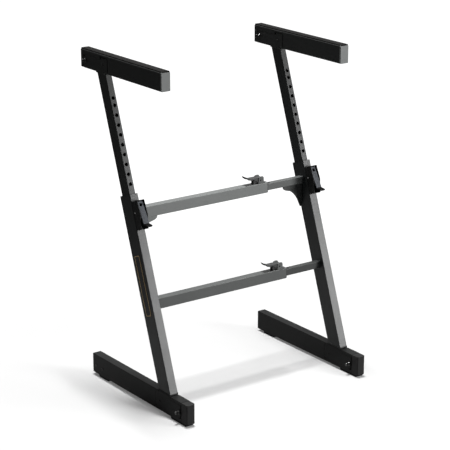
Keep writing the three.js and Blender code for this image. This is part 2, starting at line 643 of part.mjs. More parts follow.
// ---------- Width lock, measured from its hinge pin in X and from the top of the bar in Z ----------
function lockBracket() {
  const { left, right, foot, top } = LOCK_EAR;
  const half = BAR_DEPTH / 2;
  const outline = [
    [left, 0],
    [foot, 0],
    [foot, LOCK_PLATE],
    [right, LOCK_HINGE_HEIGHT / 2],
    ...arc([right / 2, top - right / 2], right / 2, 0, 90, 5),
    [left / 3, top],
    [left, top - LOCK_PLATE],
  ];
  const slot = block([left - 1, foot + 1], both(half - LOCK_PLATE), [LOCK_PLATE, top + 1]);
  return frontPlate(outline, both(half))
    .subtract(slot)
    .subtract(rod('y', LOCK_HINGE_DIAMETER + 2 * FIT_GAP, -half - 1, half + 1, [0, LOCK_HINGE_HEIGHT], 12));
}

function lockHingePin() {
  return rod('y', LOCK_HINGE_DIAMETER, -BAR_DEPTH / 2, BAR_DEPTH / 2, [0, LOCK_HINGE_HEIGHT], 12);
}

function lockLever() {
  const { right, bend, tip, lift, height, cheek } = LOCK_LEVER;
  const half = BAR_DEPTH / 2 - LOCK_PLATE - FIT_GAP;
  const top = height + LOCK_PLATE;
  const middle = [(tip + bend) / 2, top + lift / 3];
  const face = [[tip, top + lift], middle, [bend, top], [right, top]];
  const flange = [
    [right, top - LOCK_PLATE / 2],
    ...arc([0, LOCK_HINGE_HEIGHT], LOCK_HINGE_DIAMETER, 0, -90, 4),
    [LOCK_BLOCK.centre, LOCK_HINGE_HEIGHT],
    [bend + lift, height - LOCK_PLATE],
    [bend, top - cheek],
    [middle[0], middle[1] - cheek],
    [tip + LOCK_PLATE, top + lift - cheek],
    [tip, top + lift - LOCK_PLATE / 2],
    [middle[0], middle[1] - LOCK_PLATE / 2],
    [bend, top - LOCK_PLATE / 2],
  ];
  const between = block([tip, right + 1], both(half - LOCK_PLATE), [0, top + lift]);
  return frontPlate(flange, both(half))
    .subtract(between)
    .add(frontPlate(sheetOutline(face, LOCK_PLATE), both(half)))
    .subtract(rod('y', LOCK_HINGE_DIAMETER + 2 * FIT_GAP, -half - 1, half + 1, [0, LOCK_HINGE_HEIGHT], 12));
}

function lockPlunger() {
  const { centre, size, depth } = LOCK_BLOCK;
  const head = [FIT_GAP, LOCK_LEVER.height - 2 * FIT_GAP];
  const tipLevel = FIT_GAP - (BAR_HEIGHT - INNER_BAR_HEIGHT) / 2; // just short of the inner bar
  return block([centre - size / 2, centre + size / 2], both(depth / 2), head)
    .add(rod('z', LOCK_PIN_DIAMETER, tipLevel, head[0] + 1, [centre, 0], 16));
}

// ---------- Assembly ----------
function place(group, [x, y, z]) {
  group.position.set(x, y, z);
  return group;
}

function addBase(frame, side) {
  const rearFace = [BASE_LENGTH - REAR_CAP, BASE_LENGTH];
  const rearPlug = [rearFace[0] - CAP_PLUG, rearFace[0] + 1];
  const rearPadStart = BASE_LENGTH - REAR_PAD_SETBACK - REAR_PAD_LENGTH;
  frame.add(
    toMesh(`${side.name}_base_tube`, baseTube(), basePaint),
    toMesh(`${side.name}_base_front_cap`, baseFrontCap(), capPlastic),
    toMesh(`${side.name}_base_rear_cap`, endCap(BASE_HEIGHT, rearFace, rearPlug, WIDE_CAVITY), plastic),
    toMesh(`${side.name}_front_foot_pad`, footPad(FRONT_PAD_START, FRONT_PAD_LENGTH), rubber),
    toMesh(`${side.name}_rear_foot_pad`, footPad(rearPadStart, REAR_PAD_LENGTH), rubber),
    toMesh(`${side.name}_foot_bracket`, footBracket(), basePaint),
    toMesh(`${side.name}_foot_pivot_pin`, pivotPin(FOOT_PIVOT, onBase), blackSteel),
    toMesh(`${side.name}_foot_pull_pin`, pullPin(FOOT_PULL, onBase), zincSteel),
  );
}

function addLeg(frame, side) {
  const leg = place(new THREE.Group(), [0, LEG_AXIS_Y, BASE_HEIGHT]);
  leg.rotation.x = -LEAN;
  leg.add(
    toMesh(`${side.name}_lower_leg`, lowerLeg(), legPaint),
    toMesh(`${side.name}_leg_collar`, legCollar(), plastic),
    toMesh(`${side.name}_upper_leg`, upperLeg(), upperPaint),
    toMesh(`${side.name}_latch_housing`, latchHousing(), blackSteel),
    toMesh(`${side.name}_latch_hinge_pin`, latchHingePin(), zincSteel),
    toMesh(`${side.name}_latch_lever`, latchLever(), latchSteel),
    toMesh(`${side.name}_latch_lock_pin`, latchLockPin(), zincSteel),
  );
  if (side.x < 0) leg.add(toMesh('rating_plate', ratingPlate(), labelMetal));
  frame.add(leg);
}

function addArm(frame, side) {
  const arm = place(new THREE.Group(), [0, ARM_REAR, ARM_UNDERSIDE]);
  const frontFace = [-ARM_LENGTH, ARM_FRONT_CAP - ARM_LENGTH];
  const frontPlug = [frontFace[1] - 1, frontFace[1] + CAP_PLUG];
  const rearFace = [-ARM_REAR_CAP, 0];
  const rearPlug = [rearFace[0] - CAP_PLUG, rearFace[0] + 1];
  arm.add(
    toMesh(`${side.name}_arm_tube`, armTube(), armPaint),
    toMesh(`${side.name}_arm_front_cap`,
      endCap(ARM_HEIGHT, frontFace, frontPlug, WIDE_CAVITY), capPlastic),
    toMesh(`${side.name}_arm_rear_cap`, endCap(ARM_HEIGHT, rearFace, rearPlug, CAVITY), plastic),
    toMesh(`${side.name}_arm_rubber_strip`, rubberStrip(), rubber),
    toMesh(`${side.name}_arm_bracket`, armBracket(), upperPaint),
    toMesh(`${side.name}_arm_pivot_pin`, pivotPin(ARM_PIVOT, onArm), blackSteel),
    toMesh(`${side.name}_arm_pull_pin`, pullPin(ARM_PULL, onArm), zincSteel),
  );
  frame.add(arm);
}

function addCrossbar(stand, bar) {
  const depthPlace = legAxisAt(bar.height);
  const tubes = place(new THREE.Group(), [0, depthPlace, bar.height]);
  tubes.add(
    toMesh(`${bar.name}_outer_bar`, outerBar(bar), barPaint),
    toMesh(`${bar.name}_inner_bar`, innerBar(bar), barPaint),
  );
  const lock = place(new THREE.Group(), [bar.end - LOCK_SETBACK, depthPlace, bar.height + BAR_HEIGHT / 2]);
  lock.add(
    toMesh(`${bar.name}_width_bracket`, lockBracket(), barPaint),
    toMesh(`${bar.name}_width_hinge_pin`, lockHingePin(), zincSteel),
    toMesh(`${bar.name}_width_lever`, lockLever(), barPaint),
    toMesh(`${bar.name}_width_plunger`, lockPlunger(), plastic),
  );
  stand.add(tubes, lock);
}

function addGusset(stand, side) {
  const bar = BARS[0];
  const barHeight = side.x < 0 ? BAR_HEIGHT : INNER_BAR_HEIGHT;
  const legFace = side.x - Math.sign(side.x) * (LOWER_WIDTH / 2 + FIT_GAP);
  const plate = toMesh(`${side.name}_gusset`, gusset(side), legPaint);
  plate.position.set(legFace, legAxisAt(bar.height), bar.height - barHeight / 2);
  stand.add(plate);
}

const stand = new THREE.Group();
stand.name = 'keyboard_stand';
for (const side of SIDES) {
  const frame = place(new THREE.Group(), [side.x, 0, 0]);
  addBase(frame, side);
  addLeg(frame, side);
  addArm(frame, side);
  stand.add(frame);
  addGusset(stand, side);
}
for (const bar of BARS) addCrossbar(stand, bar);
// The pull pins stand out on the left, and the studs on the right
place(stand, [(PULL_PIN.proud - STUD.proud) / 2, -ARM_REAR / 2, FLOOR_TO_TUBE]);

export default stand;
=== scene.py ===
# %% [markdown]
# # A folding keyboard stand
# The real object is a black steel stand for a keyboard. Two Z-shaped side frames lean back, and two
# telescopic crossbars hold them apart. This lesson dresses its exact model: the frame gives every
# rigid piece in its true place, and each cell adds a finish or a piece that the frame leaves plain.

# %% Load the frame
import math

import bmesh
import bpy
import numpy as np
from mathutils import Matrix, Vector


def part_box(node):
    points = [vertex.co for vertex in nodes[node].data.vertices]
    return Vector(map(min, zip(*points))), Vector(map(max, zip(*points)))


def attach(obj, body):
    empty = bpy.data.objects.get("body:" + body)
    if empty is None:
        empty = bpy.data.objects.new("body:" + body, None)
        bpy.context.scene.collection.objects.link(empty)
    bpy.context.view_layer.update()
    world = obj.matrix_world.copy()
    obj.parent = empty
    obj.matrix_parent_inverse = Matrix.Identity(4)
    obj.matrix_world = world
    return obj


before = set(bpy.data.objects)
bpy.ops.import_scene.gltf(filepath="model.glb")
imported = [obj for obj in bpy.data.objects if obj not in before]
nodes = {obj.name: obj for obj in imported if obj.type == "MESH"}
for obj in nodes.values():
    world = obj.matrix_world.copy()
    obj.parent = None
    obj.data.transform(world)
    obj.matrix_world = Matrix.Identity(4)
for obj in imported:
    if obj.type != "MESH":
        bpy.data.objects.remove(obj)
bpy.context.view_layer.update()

# %% [markdown]
# ## Camera
# The photograph looks down on the stand from its left front with a long lens. A long lens keeps the
# two frames nearly parallel. The position was solved from the edges of the tubes, so the render can
# be laid over the photograph. Only the turn and the place are given here, and nothing is shifted.

# %% Camera
CAMERA_PLACE = Vector((-2.55755, -3.5481, 1.7974))
CAMERA_YAW, CAMERA_PITCH, CAMERA_ROLL = -0.6247, -0.3025, -0.0011
CAMERA_LENS_MM = 135.8


def camera_axes(yaw, pitch, roll):
    """Right, up and forward. Forward is +Y turned by yaw about Z, then tipped by pitch.

    Roll turns the other two about it.
    """
    reach = math.cos(pitch)
    forward = Vector((-math.sin(yaw) * reach, math.cos(yaw) * reach, math.sin(pitch)))
    level = Vector((math.cos(yaw), math.sin(yaw), 0))
    above = level.cross(forward)
    right = math.cos(roll) * level + math.sin(roll) * above
    return right, right.cross(forward), forward


right, up, forward = camera_axes(CAMERA_YAW, CAMERA_PITCH, CAMERA_ROLL)
camera = bpy.data.objects.new("camera", bpy.data.cameras.new("camera"))
camera.data.lens = CAMERA_LENS_MM
camera.data.sensor_width = 36
turn = Matrix((right, up, -forward)).transposed().to_4x4()
camera.matrix_world = Matrix.Translation(CAMERA_PLACE) @ turn
bpy.context.collection.objects.link(camera)
bpy.context.scene.camera = camera
bpy.context.scene.view_settings.view_transform = "Standard"
print("camera looks along", tuple(round(v, 3) for v in forward))

# %% [markdown]
# ## Helpers for node materials
# A material is a small graph: textures make numbers, the numbers change colour and roughness, and
# one Principled BSDF turns them into paint, rubber or steel. Two short helpers keep the cells below
# readable: one adds a node with its settings, and one starts a material and returns its shader.

# %% Node helpers
def add_node(tree, kind, settings=None, **inputs):
    """A node of that kind. Its settings are attributes, and its inputs take values or sockets.

    _0 and _1 stand for inputs by number, and an underscore in a name stands for a space.
    """
    node = tree.nodes.new(kind)
    for name, value in (settings or {}).items():
        setattr(node, name, value)
    for name, value in inputs.items():
        place = int(name[1:]) if name[0] == "_" else name.replace("_", " ")
        socket = node.inputs[place]
        if isinstance(value, bpy.types.NodeSocket):
            tree.links.new(value, socket)
        else:
            socket.default_value = value
    return node


def start_material(name):
    material = bpy.data.materials.new(name)
    material.use_nodes = True
    tree = material.node_tree
    return material, tree, tree.nodes["Principled BSDF"]


def product(tree, one, other):
    return add_node(tree, "ShaderNodeMath", {"operation": "MULTIPLY"}, _0=one, _1=other).outputs[0]


def spread(tree, value, low, high, **more):
    """A value from 0 to 1 (or from From_Min to From_Max) becomes one from low to high."""
    node = add_node(tree, "ShaderNodeMapRange", Value=value, To_Min=low, To_Max=high, **more)
    return node.outputs[0]


def grey(value, tint=(1, 1, 1)):
    return tuple(value * t for t in tint) + (1,)


print("helpers ready")


# %% [markdown]
# ## Shared effects
# Powder coat is not smooth: it has a fine orange-peel grain and a faint cloudiness. Handling leaves a
# thin grey dust. Both show on many pieces, so each is a node group, built once, with its strength
# and scale as inputs. A group puts out only numbers, and each material decides what they do.

# %% Node groups
def start_group(name, inputs, outputs):
    group = bpy.data.node_groups.new(name, "ShaderNodeTree")
    for label, value in inputs.items():
        socket = group.interface.new_socket(label, in_out="INPUT", socket_type="NodeSocketFloat")
        socket.default_value = value
    for label in outputs:
        group.interface.new_socket(label, in_out="OUTPUT", socket_type="NodeSocketFloat")
    return group, group.nodes.new("NodeGroupInput"), group.nodes.new("NodeGroupOutput")


def make_grain_group():
    """Height = 0.7 x a noise + 0.3 x one eight times finer. Cloud = a slow noise from 0 to 1."""
    group, source, sink = start_group("paint grain", {"Scale": 900.0}, ["Height", "Cloud"])
    place = add_node(group, "ShaderNodeTexCoord").outputs["Object"]
    scale = source.outputs["Scale"]
    peel = add_node(group, "ShaderNodeTexNoise", Vector=place, Scale=scale, Detail=2.0)
    finer = product(group, scale, 8.0)
    speck = add_node(group, "ShaderNodeTexNoise", Vector=place, Scale=finer, Detail=1.0)
    mix = add_node(group, "ShaderNodeMix", Factor=0.3, A=peel.outputs["Fac"], B=speck.outputs["Fac"])
    cloud = add_node(group, "ShaderNodeTexNoise",
                     Vector=place, Scale=14.0, Detail=4.0, Roughness=0.6)
    group.links.new(mix.outputs["Result"], sink.inputs["Height"])
    group.links.new(cloud.outputs["Fac"], sink.inputs["Cloud"])
    return group


def make_dust_group():
    """Mask = amount x Z of the surface's direction, spread from 0.3...1 to 0...1, x a broken noise."""
    group, source, sink = start_group("dust", {"Amount": 0.1}, ["Mask"])
    place = add_node(group, "ShaderNodeTexCoord").outputs["Object"]
    normal = add_node(group, "ShaderNodeNewGeometry").outputs["Normal"]
    facing = add_node(group, "ShaderNodeSeparateXYZ", Vector=normal).outputs["Z"]
    upward = spread(group, facing, 0.0, 1.0, From_Min=0.3, From_Max=1.0)
    broken = add_node(group, "ShaderNodeTexNoise",
                      Vector=place, Scale=55.0, Detail=6.0, Roughness=0.7)
    patches = spread(group, broken.outputs["Fac"], 0.0, 1.0, From_Min=0.4, From_Max=0.7)
    amount = product(group, product(group, upward, patches), source.outputs["Amount"])
    group.links.new(amount, sink.inputs["Mask"])
    return group


GRAIN = make_grain_group()
DUST = make_dust_group()
print("groups:", GRAIN.name, DUST.name)


def use_group(tree, group, **inputs):
    node = add_node(tree, "ShaderNodeGroup", {"node_tree": group})
    for name, value in inputs.items():
        node.inputs[name].default_value = value
    return node


# %% [markdown]
# ## Powder coat
# The tubes are steel with a satin black powder coat. It is a dark plastic skin: little of its light
# comes from its colour, and most is a soft reflection of the lamp. So the colour is nearly black, and
# roughness carries the look. The same recipe serves all the painted tubes, but the crossbars are not
# kept black: their coats are set lighter than the legs' coat, to how bright each tube looks, which is
# painted light, less of it on the lower bar and on the inner tubes.

# %% Powder coat
def powder_coat(name, level, roughness, tint=(0.95, 1.0, 0.98), specular=0.5, dust=0.03):
    """Colour = level x (0.9 to 1.1 with the cloud), mixed with dust grey by the dust mask.

    Roughness = its own value, plus or minus 0.04 with the cloud.
    """
    material, tree, shader = start_material(name)
    grain = use_group(tree, GRAIN, Scale=900.0)
    mask = use_group(tree, DUST, Amount=dust)
    cloudy = add_node(tree, "ShaderNodeMix", {"data_type": "RGBA"}, Factor=grain.outputs["Cloud"])
    cloudy.inputs[6].default_value = grey(level * 0.9, tint)
    cloudy.inputs[7].default_value = grey(level * 1.1, tint)
    dusty = add_node(tree, "ShaderNodeMix", {"data_type": "RGBA"}, Factor=mask.outputs["Mask"])
    tree.links.new(cloudy.outputs[2], dusty.inputs[6])
    dusty.inputs[7].default_value = grey(0.3)
    rough = spread(tree, grain.outputs["Cloud"], roughness - 0.04, roughness + 0.04)
    bump = add_node(tree, "ShaderNodeBump",
                    Height=grain.outputs["Height"], Strength=0.12, Distance=0.0002)
    tree.links.new(dusty.outputs[2], shader.inputs["Base Color"])
    tree.links.new(rough, shader.inputs["Roughness"])
    tree.links.new(bump.outputs["Normal"], shader.inputs["Normal"])
    shader.inputs["Specular IOR Level"].default_value = specular
    return material


LOWER_LEG_PAINT = powder_coat("lower leg powder coat", 0.008, 0.4, (0.8, 1.0, 1.0), specular=0.42)
UPPER_LEG_PAINT = powder_coat("upper leg powder coat", 0.014, 0.4, (0.9, 1.0, 0.97), specular=0.32)
BASE_PAINT = powder_coat("base powder coat", 0.008, 0.45, specular=0.17, dust=0.02)
ARM_PAINT = powder_coat("arm powder coat", 0.02, 0.5, specular=0.25, dust=0.02)
# Painted light: the crossbar and inner tube coats below are many times lighter than the legs' black
# coat, the upper outer bar most, the lower bar and the inner tubes less.
UPPER_BAR_PAINT = powder_coat("upper crossbar powder coat", 0.14, 0.4, specular=0.5)
LOWER_BAR_PAINT = powder_coat("lower crossbar powder coat", 0.07, 0.4, specular=0.5)
UPPER_INNER_PAINT = powder_coat("upper inner tube powder coat", 0.085, 0.4, specular=0.4)
LOWER_INNER_PAINT = powder_coat("lower inner tube powder coat", 0.035, 0.4, specular=0.4)
print("paints:", [m.name for m in bpy.data.materials if m.name.endswith("powder coat")])

# %% [markdown]
# ## Plastic, rubber and bright steel
# End caps are moulded plastic with a finer, duller grain than paint. Rubber is rougher still and
# slightly brown-grey. Pins are zinc plated steel: a metal whose colour tints what it mirrors, with
# fine scratches that stretch along the piece.

# %% Plastic, rubber and steel
def moulded(name, level, roughness, grain_size=1500.0, bump_depth=0.0002,
            tint=(1, 1, 1), dust=0.02, specular=0.35):
    """Like paint, but with one even colour, a rougher grain, and roughness within 0.05 of its value."""
    material, tree, shader = start_material(name)
    grain = use_group(tree, GRAIN, Scale=grain_size)
    mask = use_group(tree, DUST, Amount=dust)
    dusty = add_node(tree, "ShaderNodeMix", {"data_type": "RGBA"}, Factor=mask.outputs["Mask"])
    dusty.inputs[6].default_value = grey(level, tint)
    dusty.inputs[7].default_value = grey(0.35)
    rough = spread(tree, grain.outputs["Cloud"], roughness - 0.05, roughness + 0.05)
    bump = add_node(tree, "ShaderNodeBump",
                    Height=grain.outputs["Height"], Strength=0.3, Distance=bump_depth)
    tree.links.new(dusty.outputs[2], shader.inputs["Base Color"])
    tree.links.new(rough, shader.inputs["Roughness"])
    tree.links.new(bump.outputs["Normal"], shader.inputs["Normal"])
    shader.inputs["Specular IOR Level"].default_value = specular
    return material


def plated(name, level, roughness, tint=(1.0, 1.0, 1.0)):
    """Metal with long fine scratches: its roughness is a noise squeezed forty times along one way."""
    material, tree, shader = start_material(name)
    place = add_node(tree, "ShaderNodeTexCoord").outputs["Object"]
    stretch = add_node(tree, "ShaderNodeMapping", Vector=place, Scale=(1.0, 1.0, 40.0))
    scratch = add_node(tree, "ShaderNodeTexNoise", Vector=stretch.outputs[0], Scale=400.0, Detail=3.0)
    rough = spread(tree, scratch.outputs["Fac"], roughness - 0.1, roughness + 0.1)
    tree.links.new(rough, shader.inputs["Roughness"])
    shader.inputs["Base Color"].default_value = grey(level, tint)
    shader.inputs["Metallic"].default_value = 1.0
    return material


CAP_PLASTIC = moulded("base cap plastic", 0.008, 0.45, specular=0.25)
ARM_CAP_PLASTIC = moulded("arm cap plastic", 0.14, 0.5, tint=(0.95, 1.0, 0.99), dust=0.0)
DARK_PLASTIC = moulded("black plastic", 0.012, 0.5)
RUBBER = moulded("foot rubber", 0.012, 0.75, 500.0, 0.0004, (0.9, 0.95, 1.1), specular=0.2)
GRIP_RUBBER = moulded("grip rubber", 0.003, 0.6, dust=0.0, specular=0.08)
STRIP_RUBBER = moulded("arm strip rubber", 0.008, 0.8, 260.0, 0.0012,
                       (1.0, 0.97, 0.93), dust=0.01, specular=0.12)
BLACK_STEEL = powder_coat("latch black", 0.007, 0.4, specular=0.22)
LEVER_STEEL = powder_coat("lever blue black", 0.05, 0.38, (0.88, 0.97, 1.12), specular=0.5)
ZINC = plated("zinc plate", 0.62, 0.3)
PULL_STEEL = plated("pull pin steel", 0.12, 0.3)
print(len(bpy.data.materials), "materials so far")

# %% [markdown]
# ## Dress the frame
# Each node keeps its exact shape. A real tube has a small radius along every edge, which catches the
# light as a fine line. A Weld modifier joins the loose triangles of the frame, and a Bevel modifier
# rounds only the sharp edges, so the radius is real geometry.

# %% Dress the frame
FINISHES = {
    "base_tube": (BASE_PAINT, 0.8),
    "base_front_cap": (CAP_PLASTIC, 0.6), "base_rear_cap": (DARK_PLASTIC, 0.8),
    "front_foot_pad": (RUBBER, 0.6), "rear_foot_pad": (RUBBER, 0.6),
    "foot_bracket": (BASE_PAINT, 0.4), "foot_pivot_pin": (BASE_PAINT, 0.3),
    "foot_pull_pin": (PULL_STEEL, 0.5),
    "lower_leg": (LOWER_LEG_PAINT, 0.9), "leg_collar": (LOWER_LEG_PAINT, 0.4),
    "upper_leg": (UPPER_LEG_PAINT, 0.7),
    "latch_housing": (BLACK_STEEL, 0.4), "latch_lever": (LEVER_STEEL, 0.4),
    "latch_hinge_pin": (BLACK_STEEL, 0.3), "latch_lock_pin": (ZINC, 0.4),
    "arm_tube": (ARM_PAINT, 0.9),
    "arm_front_cap": (ARM_CAP_PLASTIC, 1.0), "arm_rear_cap": (DARK_PLASTIC, 1.0),
    "arm_rubber_strip": (STRIP_RUBBER, 0.6), "arm_bracket": (ARM_PAINT, 0.4),
    "arm_pivot_pin": (ARM_PAINT, 0.3), "arm_pull_pin": (PULL_STEEL, 0.5),
    # Painted light and shade: the two gussets are the same plate, but the left one takes the light
    # upper crossbar coat and the right one, shaded by the latch, a darker coat.
    "left_gusset": (UPPER_BAR_PAINT, 0.5), "right_gusset": (LOWER_INNER_PAINT, 0.5),
    "upper_outer_bar": (UPPER_BAR_PAINT, 0.7), "upper_inner_bar": (UPPER_INNER_PAINT, 0.5),
    "lower_outer_bar": (LOWER_BAR_PAINT, 0.7), "lower_inner_bar": (LOWER_INNER_PAINT, 0.5),
    "width_bracket": (LOWER_BAR_PAINT, 0.4), "width_hinge_pin": (BLACK_STEEL, 0.3),
    "width_lever": (LOWER_INNER_PAINT, 0.3),
    "width_plunger": (DARK_PLASTIC, 0.4), "rating_plate": (DARK_PLASTIC, 0.1),
}
SHARP = math.radians(35)


def round_edges(piece, radius_mm):
    weld = piece.modifiers.new("weld", "WELD")
    weld.merge_threshold = 1e-5
    bevel = piece.modifiers.new("edge radius", "BEVEL")
    bevel.width = radius_mm / 1000
    bevel.segments = 2
    bevel.limit_method = "ANGLE"
    bevel.angle_limit = SHARP
    bevel.use_clamp_overlap = True


for name, piece in nodes.items():
    kind = next(k for k in sorted(FINISHES, key=len, reverse=True) if name.endswith(k))
    finish, radius_mm = FINISHES[kind]
    for slot in piece.material_slots:
        slot.material = finish
    round_edges(piece, radius_mm)
print("dressed", len(nodes), "nodes")

# %% [markdown]
# ## Small pieces
# The frame has every tube, cap and lever. What makes the stand look real from near are the weld
# beads, rivets, springs, ribs and grips. They are all skins over rings of points: a circle, an
# ellipse or a rounded box is carried along a path, and one helper joins the rings with quads.

# %% A skin over rings
MM = 0.001
SMOOTH_BELOW = math.radians(40)


def loft(name, rings, finish, body, closed=False):
    """A mesh over rings of points: quads join ring i to ring i + 1. Ends are filled or joined."""
    rings = np.asarray(rings, dtype=float)
    count, around = rings.shape[:2]
    i = np.arange(count if closed else count - 1)[:, None]
    j = np.arange(around)[None, :]
    after, beside = (i + 1) % count, (j + 1) % around
    corners = (i * around + j, i * around + beside, after * around + beside, after * around + j)
    faces = np.stack(np.broadcast_arrays(*corners), axis=-1).reshape(-1, 4).tolist()
    if not closed:
        faces += [list(range(around)), list(range((count - 1) * around, count * around))]
    mesh = bpy.data.meshes.new(name)
    mesh.from_pydata(rings.reshape(-1, 3).tolist(), [], faces)
    shell = bmesh.new()
    shell.from_mesh(mesh)
    bmesh.ops.recalc_face_normals(shell, faces=shell.faces)
    shell.to_mesh(mesh)
    shell.free()
    mesh.shade_smooth()
    mesh.set_sharp_from_angle(angle=SMOOTH_BELOW)
    mesh.materials.append(finish)
    piece = bpy.data.objects.new(name, mesh)
    bpy.context.collection.objects.link(piece)
    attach(piece, body)
    return piece


def tube_rings(path, radius, across, sides=8, closed=False):
    """Circles square to a path.

    Point = path + radius x (cos a x side + sin a x other), where side = run x across.
    """
    path = np.asarray(path, dtype=float)
    if closed:
        run = np.roll(path, -1, axis=0) - np.roll(path, 1, axis=0)
    else:
        run = np.gradient(path, axis=0)
    run /= np.linalg.norm(run, axis=1, keepdims=True)
    side = np.cross(run, np.asarray(across, dtype=float))
    side /= np.linalg.norm(side, axis=1, keepdims=True)
    other = np.cross(side, run)
    angle = np.linspace(0, 2 * np.pi, sides, endpoint=False)
    reach = np.broadcast_to(radius, len(path))[:, None, None]
    cos, sin = np.cos(angle)[None, :, None], np.sin(angle)[None, :, None]
    return path[:, None] + reach * (cos * side[:, None] + sin * other[:, None])


def middle(node):
    low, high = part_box(node)
    return (np.array(low) + np.array(high)) / 2


SIDES = ("left", "right")
LEAN = math.radians(19.5)
UP_LEG = np.array((0, math.sin(LEAN), math.cos(LEAN)))
OUT_OF_LEG = np.array((0, -math.cos(LEAN), math.sin(LEAN)))
print("the legs lean back by", round(math.degrees(LEAN), 1), "degrees")

# %% [markdown]
# ## Weld beads
# Where two tubes meet, the real stand has a fillet of weld, drawn along the seam in small steps. Each
# step leaves a ripple. A circle is carried round the seam, and its radius swells and shrinks with the
# way along it, so the ripples are real shape. The paint covers them as it covers the tubes.

# %% Weld beads
BEAD_RADIUS = 1.5 * MM
RIPPLE_PITCH = 3.0 * MM
RIPPLE = 0.16
BEAD_STEP = 0.75 * MM
ARM_BEAD_RADIUS = 1.2 * MM
LOWER_LEG_DEPTH = 50 * MM  # front to back, square to the leg
UPPER_LEG_DEPTH = 38 * MM
GUSSET_BEAD_LIFT = 2 * MM


def weld_bead(name, corners, across, body, closed=True,
              radius=BEAD_RADIUS, finish=LOWER_LEG_PAINT):
    """Points every 0.75 mm along the straight runs between the corners.

    Radius = its own size x (1 + 0.16 x sin(2 pi x way along / 3 mm)).
    """
    corners = np.array(corners, dtype=float)
    if closed:
        corners = np.vstack([corners, corners[:1]])
    way = np.concatenate([[0], np.cumsum(np.linalg.norm(np.diff(corners, axis=0), axis=1))])
    steps = np.arange(0, way[-1] - (BEAD_STEP if closed else 0), BEAD_STEP)
    path = np.stack([np.interp(steps, way, corners[:, k]) for k in range(3)], axis=1)
    swell = radius * (1 + RIPPLE * np.sin(2 * np.pi * steps / RIPPLE_PITCH))
    return loft(name, tube_rings(path, swell, across, 8, closed), finish, body, closed)


def rounded_seam(low, high, level, flat, corner=1.6 * MM):
    """The outline of a box at one level, its corners cut. flat is the number of the level's axis."""
    (a0, b0), (a1, b1) = low, high
    outline = [(a0 + corner, b0), (a1 - corner, b0), (a1, b0 + corner), (a1, b1 - corner),
               (a1 - corner, b1), (a0 + corner, b1), (a0, b1 - corner), (a0, b0 + corner)]
    return [np.insert(point, flat, level) for point in outline]


for side in SIDES:
    low, high = (np.array(v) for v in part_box(f"{side}_lower_leg"))
    depth = LOWER_LEG_DEPTH / math.cos(LEAN)
    foot = rounded_seam((low[0], low[1]), (high[0], low[1] + depth), low[2], 2)
    weld_bead(f"{side}_foot_weld", foot, (0, 0, 1), f"{side}_frame", finish=BASE_PAINT)
    low, high = (np.array(v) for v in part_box(f"{side}_upper_leg"))
    depth = UPPER_LEG_DEPTH / math.cos(LEAN)
    top = rounded_seam((low[0], high[1] - depth), (high[0], high[1]), high[2], 2)
    weld_bead(f"{side}_arm_weld", top, (0, 0, 1), f"{side}_upper",
              radius=ARM_BEAD_RADIUS, finish=UPPER_LEG_PAINT)
    low, high = (np.array(v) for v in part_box(f"{side}_gusset"))
    leg_face = low[0] if side == "left" else high[0]
    for face, y in (("front", low[1]), ("back", high[1])):
        seam = [(leg_face, y, low[2] + GUSSET_BEAD_LIFT), (leg_face, y, high[2])]
        weld_bead(f"{side}_gusset_{face}_weld", seam, (1, 0, 0), f"{side}_frame", closed=False)
for bar in ("upper", "lower"):
    for piece, body, end in (("outer", "left_frame", 0), ("inner", "right_frame", 1)):
        corners = [np.array(v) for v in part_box(f"{bar}_{piece}_bar")]
        seam = rounded_seam(corners[0][1:], corners[1][1:], corners[end][0], 0)
        weld_bead(f"{bar}_{piece}_bar_weld", seam, (1, 0, 0), body)
print("weld beads laid")

# %% [markdown]
# ## Rivets and screws
# The latch plates are held by domed rivets of bright steel, and two screws sit at the back of each
# base, on its outer side. Each head is a profile turned about its axis.

# %% Rivets and screws
SOCKET = [(0.02, -0.6), (0.5, -0.6), (0.55, 0.9), (0.8, 1.0),
          (1.0, 0.5), (1.0, -0.4), (0.5, -0.8), (0.02, -0.8)]
DOME = [(0.02, 1.0), (0.35, 0.96), (0.65, 0.78), (0.87, 0.45),
        (1.0, 0.0), (1.0, -0.25), (0.02, -0.25)]
RIVET_RADIUS, RIVET_HEIGHT = 2.2 * MM, 1.2 * MM
RIVET_DOWN, RIVET_IN = 21 * MM, 11.5 * MM  # down the leg and in towards it, from the latch's hinge
SCREW_RADIUS, SCREW_HEIGHT = 3.2 * MM, 1.0 * MM
SCREWS = ((11 * MM, 23 * MM), (42 * MM, 21 * MM))  # from the rear end and the underside of the base


def turned(name, profile, centre, axis, radius, height, finish, body, sides=20):
    """A profile of (radius, height) pairs, as shares of the head's own, turned about its axis."""
    axis = np.array(axis, dtype=float)
    axis /= np.linalg.norm(axis)
    side = np.cross(axis, (0, 0, 1.0)) if abs(axis[2]) < 0.9 else np.cross(axis, (1.0, 0, 0))
    side /= np.linalg.norm(side)
    other = np.cross(axis, side)
    angle = np.linspace(0, 2 * np.pi, sides, endpoint=False)
    circle = np.cos(angle)[:, None] * side + np.sin(angle)[:, None] * other
    centre = np.array(centre)
    rings = [centre + share * radius * circle + rise * height * axis for share, rise in profile]
    return loft(name, rings, finish, body)


for side in SIDES:
    hinge = middle(f"{side}_latch_hinge_pin")
    low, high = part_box(f"{side}_latch_housing")
    rivet = hinge - RIVET_DOWN * UP_LEG - RIVET_IN * OUT_OF_LEG
    for name, x, way in (("left", low[0], -1), ("right", high[0], 1)):
        turned(f"{side}_latch_{name}_rivet", DOME, (x, rivet[1], rivet[2]), (way, 0, 0),
               RIVET_RADIUS, RIVET_HEIGHT, ZINC, f"{side}_frame")
for side, way in (("left", -1), ("right", 1)):
    low, high = (np.array(v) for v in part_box(f"{side}_base_tube"))
    x = low[0] if way < 0 else high[0]
    for number, (back, rise) in enumerate(SCREWS, 1):
        turned(f"{side}_base_screw_{number}", SOCKET, (x, high[1] - back, low[2] + rise), (way, 0, 0),
               SCREW_RADIUS, SCREW_HEIGHT, PULL_STEEL, f"{side}_base")
print("rivets and screws set")

